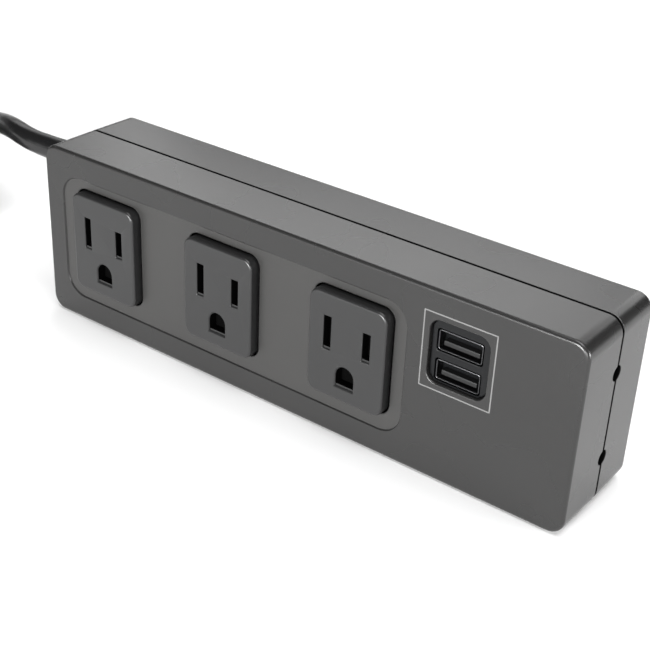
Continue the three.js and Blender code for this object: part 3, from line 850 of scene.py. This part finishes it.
# Sizes that more than one piece goes by. FLANGE is the level behind the front wall where the
# outlet blocks and the USB plate widen, so that they can't fall out.
END_HOLE_RADIUS = 2.1 * MM
END_HOLE_PITCH = 25 * MM
CORD_HOLE_RADIUS = 4.3 * MM
FLANGE = -12.9 * MM
BLOCK_WIDTH, BLOCK_HEIGHT, BLOCK_CORNER = 24.9 * MM, 31.3 * MM, 3 * MM
BLOCK_CENTRE = 0.95 * MM
SEAM_OPENING = 0.4 * MM


def end_hole_cutters(settings, materials):
    """Two rods with chamfered ends that make the clamp holes on the seam of the right end; past
    the chamfer, the hole walls carry near-black painted shade.
    """
    cutters = []
    right = settings.length / 2
    for side in (1, -1):
        height = settings.height / 2 + side * END_HOLE_PITCH / 2
        skin = Skin("X")
        sections = ((-6, 0), (-0.12, 0), (0.4, 0.5))
        rings = [
            skin.ring(
                circle(END_HOLE_RADIUS + grow * MM, settings.seam, height, 36), right + x * MM
            )
            for x, grow in sections
        ]
        skin.stack(rings, (1, 0))
        cutters.append(skin.build("hole_cutter", materials, smooth=False))
    return cutters


def cord_hole_cutter(settings, materials):
    """A rod that makes the cord's hole in the left end; the hole wall carries near-black painted
    shade.
    """
    skin = Skin("X")
    left = -settings.length / 2
    rim = circle(CORD_HOLE_RADIUS, CORD_EXIT[1], CORD_EXIT[2], 36)
    skin.stack([skin.ring(rim, left + reach * MM) for reach in (-2, 5)], (1,))
    return skin.build("hole_cutter", materials, smooth=False)


def housing_outline(settings):
    """The outline of the housing, seen from the front."""
    return outline(settings.length, settings.height, settings.corner, 0, settings.height / 2)


def shell_finishes(settings):
    """The outside of the shells, near-black painted shade for their hollows, seam grooves and hole
    walls, and the matt panel.
    """
    outside = plastic("Housing plastic", settings.colour, 0.27)
    # Near-black painted shade with next to no gloss, laid where shade falls within the shells.
    painted_shade = plastic("Painted shade in the housing", (0.003, 0.003, 0.003), 0.7, ior=1.05)
    panel = plastic("Panel plastic", (0.0245, 0.024, 0.0232), 0.36)
    return [outside, painted_shade, panel]


def block_outline(x, middle, gap=0.0):
    """The outline of the outlet block at x, with a gap round it."""
    width, height = BLOCK_WIDTH + 2 * gap, BLOCK_HEIGHT + 2 * gap
    return outline(width, height, BLOCK_CORNER + gap, x, middle + BLOCK_CENTRE)


class STRIP_OT_front_shell(bpy.types.Operator):
    """Builds the front half of the housing, with its panel, outlet windows and USB opening."""

    bl_idname = "strip.front_shell"
    bl_label = "Front shell"

    def execute(self, context):
        sizes = context.scene.strip_housing
        outlets = context.scene.strip_outlets
        charger = context.scene.strip_charger
        middle = sizes.height / 2
        inner_front = sizes.front + 2.6 * MM
        skin = Skin()
        fillet, lip = sizes.front_edge, sizes.seam - SEAM_OPENING
        profile = [(sizes.wall, inner_front), (sizes.wall, sizes.seam), (0.9 * MM, sizes.seam)]
        profile += [(0.9 * MM, lip), (0.12 * MM, lip), (0.03 * MM, lip - 0.04 * MM)]
        profile += [(0, lip - 0.16 * MM), (0, sizes.front + fillet)]
        profile += rounding(fillet, sizes.front, 8)
        # Bands 0 to 3, the inner wall and the seam groove, take the near-black painted shade, so
        # the seam shows as a dark line.
        inner, outer = skin.sweep(housing_outline(sizes), profile, (0, 1, 2, 3))
        floor = sizes.front + outlets.panel_depth
        rim, floor_edge = skin.sweep(
            outline(125.9 * MM, 39.8 * MM, 7 * MM, -21.35 * MM, middle),
            [
                (-0.3 * MM, sizes.front),
                (-0.12 * MM, sizes.front + 0.05 * MM),
                (0, sizes.front + 0.22 * MM),
                (0.1 * MM, floor - 0.16 * MM),
                (0.17 * MM, floor - 0.04 * MM),
                (0.28 * MM, floor),
            ],
        )
        fronts, backs = [], []
        for k in range(3):
            # Each window wall deeper than its rim takes the painted shade, so the moat round each
            # block shows black.
            mouth, back = skin.sweep(
                block_outline(outlets.first + k * outlets.pitch, middle, outlets.moat),
                [
                    (-0.34 * MM, floor),
                    (-0.12 * MM, floor + 0.06 * MM),
                    (0, floor + 0.26 * MM),
                    (0, floor + 0.5 * MM),
                    (0, inner_front),
                ],
                (3,),
            )
            fronts.append(mouth)
            backs.append(back)
        mouth, back = skin.sweep(
            outline(17.5 * MM, 18.2 * MM, 3.2 * MM, charger.well_x, charger.well_z),
            [
                (-0.45 * MM, sizes.front),
                (-0.2 * MM, sizes.front + 0.08 * MM),
                (-0.03 * MM, sizes.front + 0.28 * MM),
                (0, sizes.front + 0.55 * MM),
                (0, inner_front),
            ],
        )
        skin.cap(outer, [rim, mouth])
        skin.cap(floor_edge, fronts, 2)
        # The inner cap behind the windows and the well takes the painted shade.
        skin.cap(inner, [*backs, back], 1)
        finishes = shell_finishes(sizes)
        piece = skin.build("housing_front", finishes)
        carve(piece, [*end_hole_cutters(sizes, finishes), cord_hole_cutter(sizes, finishes)])
        fit(piece, "housing", "front_shell")
        return {"FINISHED"}


SCREW_PLACES = ((-70, 48.4), (-84.3, 6.6), (2, 48.4), (2, 6.6), (84.3, 48.4), (84.3, 6.6))


class STRIP_OT_rear_shell(bpy.types.Operator):
    """Builds the back half of the housing, with its screw wells."""

    bl_idname = "strip.rear_shell"
    bl_label = "Rear shell"

    def execute(self, context):
        sizes = context.scene.strip_housing
        start = sizes.seam + 0.3 * MM
        lip = start + SEAM_OPENING / 2
        skin = Skin()
        fillet, draft = sizes.rear_edge, sizes.draft
        profile = [(sizes.wall, sizes.rear - sizes.wall), (sizes.wall, start), (0.9 * MM, start)]
        profile += [(0.9 * MM, lip), (0.12 * MM, lip), (0.03 * MM, lip + 0.04 * MM)]
        profile += [(0, lip + 0.16 * MM), (draft, sizes.rear - fillet)]
        profile += rounding(-fillet, sizes.rear, 6, draft)
        # Bands 0 to 3, the inner wall and the seam groove, take the near-black painted shade.
        inner, outer = skin.sweep(housing_outline(sizes), profile, (0, 1, 2, 3))
        mouths, passages = [], []
        for x, z in SCREW_PLACES:

            def well(inset, x=x, z=z):
                return circle(2.8 * MM - inset, x * MM, z * MM, 28)

            mouth, passage = skin.sweep(
                well,
                [
                    (-0.25 * MM, sizes.rear),
                    (-0.07 * MM, sizes.rear - 0.07 * MM),
                    (0, sizes.rear - 0.25 * MM),
                    (0, 6.7 * MM),
                    (1.2 * MM, 6.7 * MM),
                    (1.2 * MM, 6.2 * MM),
                    (-0.7 * MM, 6.2 * MM),
                    (-0.7 * MM, sizes.rear - sizes.wall),
                ],
            )
            mouths.append(mouth)
            passages.append(passage)
        skin.cap(outer, mouths)
        # The inner cap takes the painted shade.
        skin.cap(inner, passages, 1)
        finishes = shell_finishes(sizes)
        piece = skin.build("housing_rear", finishes)
        carve(piece, [*end_hole_cutters(sizes, finishes), cord_hole_cutter(sizes, finishes)])
        fit(piece, "housing", "rear_shell")
        for column in ("left", "middle", "right"):
            for row in ("top", "bottom"):
                dress(f"screw_{row}_{column}", screw_zinc())
        return {"FINISHED"}


# ---------------------------------------------------------------- outlets


def slot_outline(width, low, high, x, radius=0.12 * MM):
    """The outline of a blade slot between two heights."""
    return rounded(width, high - low, radius, x, (high + low) / 2, steps=2)


def arched_outline(width, low, high, x, steps=14):
    """A hole with a flat bottom and a round top."""
    radius = width / 2
    centre = high - radius
    points = [(x - radius, low), (x + radius, low)]
    turns = [math.pi * k / steps for k in range(steps + 1)]
    return points + [(x + radius * math.cos(t), centre + radius * math.sin(t)) for t in turns]


POCKET_DEPTH = 3.2 * MM


class STRIP_OT_outlets(bpy.types.Operator):
    """Builds the three outlet blocks with their blade slots and round-topped ground holes."""

    bl_idname = "strip.outlets"
    bl_label = "Outlets"

    def execute(self, context):
        sizes = context.scene.strip_outlets
        housing = context.scene.strip_housing
        block = plastic("Outlet plastic", sizes.colour, 0.3)
        # Near-black painted shade with next to no gloss for the deep walls and floors of the
        # slots.
        painted_shade = plastic("Painted shade in the slots", (0.002, 0.002, 0.002), 0.8, ior=1.05)
        for k in range(3):
            x = sizes.first + k * sizes.pitch
            self.add_block(k + 1, x, housing, sizes, [block, painted_shade])
        for name in ("neutral_bus", "line_bus", "ground_bus"):
            dress(name, contact_brass())
        return {"FINISHED"}

    def add_block(self, number, x, housing, sizes, finishes):
        middle = housing.height / 2
        face = housing.front - sizes.proud
        fillet = 0.8 * MM
        skin = Skin()
        foot = housing.front + sizes.panel_depth + 0.5 * MM
        profile = [(3.5 * MM, -3 * MM), (-2 * MM, -3 * MM), (-2 * MM, FLANGE), (0, FLANGE)]
        profile += [(0, foot), (0, face + fillet)]
        profile += rounding(fillet, face, 8)
        # Bands 0 to 3, the flange and the side wall down in the moat, take the near-black painted
        # shade.
        back, front = skin.sweep(block_outline(x, middle), profile, (0, 1, 2, 3))
        blade = middle + 4.9 * MM
        holes = []
        for width, height, place in ((2.5, 9.4, x - 6.35 * MM), (2.5, 7.9, x + 6.35 * MM)):
            low, high = blade - height / 2 * MM, blade + height / 2 * MM
            holes.append(self.add_hole(skin, slot_outline, width * MM, low, high, place, face))
        low, high = middle - 9.8 * MM, middle - 3.95 * MM
        holes.append(self.add_hole(skin, arched_outline, 5.9 * MM, low, high, x, face))
        skin.cap(front, holes)
        skin.cap(back)
        piece = skin.build(f"outlet_block_{number}", finishes, 42)
        fit(piece, "outlet_plastic", f"outlet_insert_{number}")

    def add_hole(self, skin, shape, width, low, high, x, face):
        """A pocket with a chamfered rim and a low ledge at its foot, its deep wall and floor in
        near-black painted shade; gives its mouth.
        """
        rim, ledge, step = 0.32 * MM, 0.62 * MM, 0.6 * MM
        rings = [
            skin.ring(shape(width + 2 * rim, low - ledge - rim, high + rim, x), face),
            skin.ring(shape(width, low - ledge, high, x), face + rim),
            skin.ring(shape(width, low - ledge, high, x), face + step),
            skin.ring(shape(width, low, high, x), face + step),
            skin.ring(shape(width, low, high, x), face + POCKET_DEPTH),
        ]
        # Band 3, the deep wall, and the floor of the pocket take the painted shade.
        for k, (near, far) in enumerate(zip(rings, rings[1:])):
            skin.band(near, far, int(k == 3))
        skin.cap(rings[-1], finish=1)
        return rings[0]


# ---------------------------------------------------------------- charger


class STRIP_OT_charger(bpy.types.Operator):
    """Builds the USB well, its two ports and the thin printed line round them."""

    bl_idname = "strip.charger"
    bl_label = "USB charger"

    def execute(self, context):
        sizes = context.scene.strip_charger
        housing = context.scene.strip_housing
        gloss = plastic("Well plastic", (0.005, 0.0053, 0.0058), 0.3, relief=0.000003, ior=1.3)
        nickel = metal("Port nickel", (0.075, 0.075, 0.078), 0.34, (4000.0, 300.0, 300.0))
        colour = (0.012, 0.0122, 0.0125)
        tongue = plastic("Tongue plastic", colour, 0.4, 1800.0, 0.000003, ior=1.35)
        ink = plastic("Printed line", sizes.ink, 0.55, 1800.0, 0.000004, 0.05, 0.1)
        port_x = 56.65 * MM
        ports = [sizes.well_z - 1.1 * MM + side * sizes.port_pitch / 2 for side in (1, -1)]
        floor = housing.front + sizes.well_depth
        self.add_bezel(sizes, floor, port_x, ports, gloss)
        for name, z in zip(("upper", "lower"), ports):
            self.add_port(name, port_x, z, floor + 0.15 * MM, nickel)
            self.add_tongue(name, port_x, z - 1.05 * MM, floor + 0.95 * MM, tongue)
        self.add_line(sizes, housing.front, ink)
        return {"FINISHED"}

    def add_bezel(self, sizes, floor, port_x, ports, material):
        skin = Skin()
        profile = [(3 * MM, FLANGE + 1.5 * MM), (-2.3 * MM, FLANGE + 1.5 * MM)]
        profile += [(-2.3 * MM, FLANGE), (0, FLANGE), (0, floor + 0.25 * MM)]
        profile += [(0.08 * MM, floor + 0.07 * MM), (0.25 * MM, floor)]
        plate = outline(16.9 * MM, 17.6 * MM, 2.9 * MM, sizes.well_x, sizes.well_z)
        back, front = skin.sweep(plate, profile)
        mouths = []
        for z in ports:
            mouth, deep = skin.sweep(
                outline(13.6 * MM, 6.4 * MM, 0.8 * MM, port_x, z),
                [
                    (-0.3 * MM, floor),
                    (-0.08 * MM, floor + 0.08 * MM),
                    (0, floor + 0.3 * MM),
                    (0, FLANGE + 1.3 * MM),
                ],
            )
            skin.cap(deep)
            mouths.append(mouth)
        skin.cap(front, mouths)
        skin.cap(back)
        fit(skin.build("usb_well_floor", [material]), "well_plastic", "usb_bezel")

    def add_port(self, name, x, z, front, material):
        """A drawn metal shell with a rounded lip."""
        skin = Skin()
        back = front + 12.2 * MM
        profile = [(0, back), (0, front + 0.2 * MM), (0.06 * MM, front + 0.06 * MM)]
        profile += [(0.2 * MM, front), (0.33 * MM, front + 0.05 * MM)]
        profile += [(0.45 * MM, front + 0.22 * MM), (0.45 * MM, back - 0.8 * MM)]
        skin.solid(outline(13 * MM, 5.8 * MM, 0.8 * MM, x, z, 4), profile)
        piece = skin.build(f"usb_port_{name}", [material])
        fit(piece, "port_steel", f"usb_shell_{name}")

    def add_tongue(self, name, x, z, front, material):
        """The plastic tongue, with a rounded leading edge."""
        skin = Skin()
        back = front + 10.2 * MM
        profile = [(0.3 * MM, front), (0.09 * MM, front + 0.09 * MM)]
        profile += [(0, front + 0.3 * MM), (0, back)]
        skin.solid(outline(10.6 * MM, 1.5 * MM, 0.35 * MM, x, z), profile)
        piece = skin.build(f"port_tongue_{name}", [material])
        fit(piece, "tongue_plastic", f"usb_tongue_{name}")

    def add_line(self, sizes, front, material):
        """The printed square line round the well."""
        skin = Skin()
        top, foot, width = front - 0.03 * MM, front + 0.02 * MM, 0.37 * MM
        profile = [(0, foot), (0, top), (width, top), (width, foot)]
        line = outline(21.4 * MM, 22.2 * MM, 0.25 * MM, sizes.well_x, sizes.well_z, 3)
        first, last = skin.sweep(line, profile)
        skin.band(last, first)
        fit(skin.build("printed_line", [material], 30), "insulator")


# ---------------------------------------------------------------- inner parts


class STRIP_OT_inner_parts(bpy.types.Operator):
    """Gives the boards, wires and clamp within the housing their finishes."""

    bl_idname = "strip.inner_parts"
    bl_label = "Inner parts"

    def execute(self, context):
        white = plastic("Insulator plastic", (0.7, 0.7, 0.68), 0.45)
        board = plastic("Board mask", (0.02, 0.12, 0.05), 0.35, 900.0)
        blue = plastic("Varistor coating", (0.02, 0.07, 0.25), 0.35)
        dark = plastic("Component plastic", (0.02, 0.02, 0.022), 0.3)
        tape = plastic("Winding tape", (0.6, 0.42, 0.06), 0.35)
        black_wire = plastic("Black sleeve", (0.012, 0.012, 0.012), 0.35)
        white_wire = plastic("White sleeve", (0.7, 0.7, 0.68), 0.35)
        green_wire = plastic("Green sleeve", (0.02, 0.2, 0.05), 0.35)
        finishes = {
            white: ("bus_cover", "cord_clamp"),
            board: ("charger_board", "surge_board"),
            blue: ("varistor_1", "varistor_2", "varistor_3"),
            dark: ("charger_capacitor", "charger_output_choke", "thermal_fuse"),
            tape: ("charger_transformer", "filter_capacitor"),
            black_wire: ("line_wire", "line_link_wire", "charger_line_wire"),
            white_wire: ("neutral_wire", "charger_neutral_wire"),
            green_wire: ("ground_wire",),
            screw_zinc(): ("clamp_screw_upper", "clamp_screw_lower"),
            cord_jacket(context): ("cord_inner_end",),
        }
        for material, nodes in finishes.items():
            for name in nodes:
                dress(name, material)
        return {"FINISHED"}


# ---------------------------------------------------------------- panel and start


class STRIP_PT_panel(bpy.types.Panel):
    """Lists the steps that build the power strip."""

    bl_idname = "STRIP_PT_panel"
    bl_label = "Power strip"
    bl_space_type = "VIEW_3D"
    bl_region_type = "UI"
    bl_category = "Power strip"

    def draw(self, context):
        for step in STEPS:
            self.layout.operator(step.bl_idname)
        for group in SETTINGS:
            settings = getattr(context.scene, group)
            for key in settings.__annotations__:
                self.layout.prop(settings, key)


STEPS = (
    STRIP_OT_stage,
    STRIP_OT_cord,
    STRIP_OT_front_shell,
    STRIP_OT_rear_shell,
    STRIP_OT_outlets,
    STRIP_OT_charger,
    STRIP_OT_inner_parts,
)
SETTINGS = {
    "strip_housing": HousingSettings,
    "strip_outlets": OutletSettings,
    "strip_charger": ChargerSettings,
    "strip_cord": CordSettings,
    "strip_stage": StageSettings,
}


def register():
    for group in (*SETTINGS.values(), *STEPS, STRIP_PT_panel):
        bpy.utils.register_class(group)
    for name, group in SETTINGS.items():
        setattr(bpy.types.Scene, name, bpy.props.PointerProperty(type=group))


def unregister():
    for name in SETTINGS:
        delattr(bpy.types.Scene, name)
    for group in reversed((*SETTINGS.values(), *STEPS, STRIP_PT_panel)):
        bpy.utils.unregister_class(group)


def main():
    register()
    bpy.ops.strip.stage()
    bpy.ops.strip.cord()
    bpy.ops.strip.front_shell()
    bpy.ops.strip.rear_shell()
    bpy.ops.strip.outlets()
    bpy.ops.strip.charger()
    bpy.ops.strip.inner_parts()


if __name__ == "__main__":
    main()
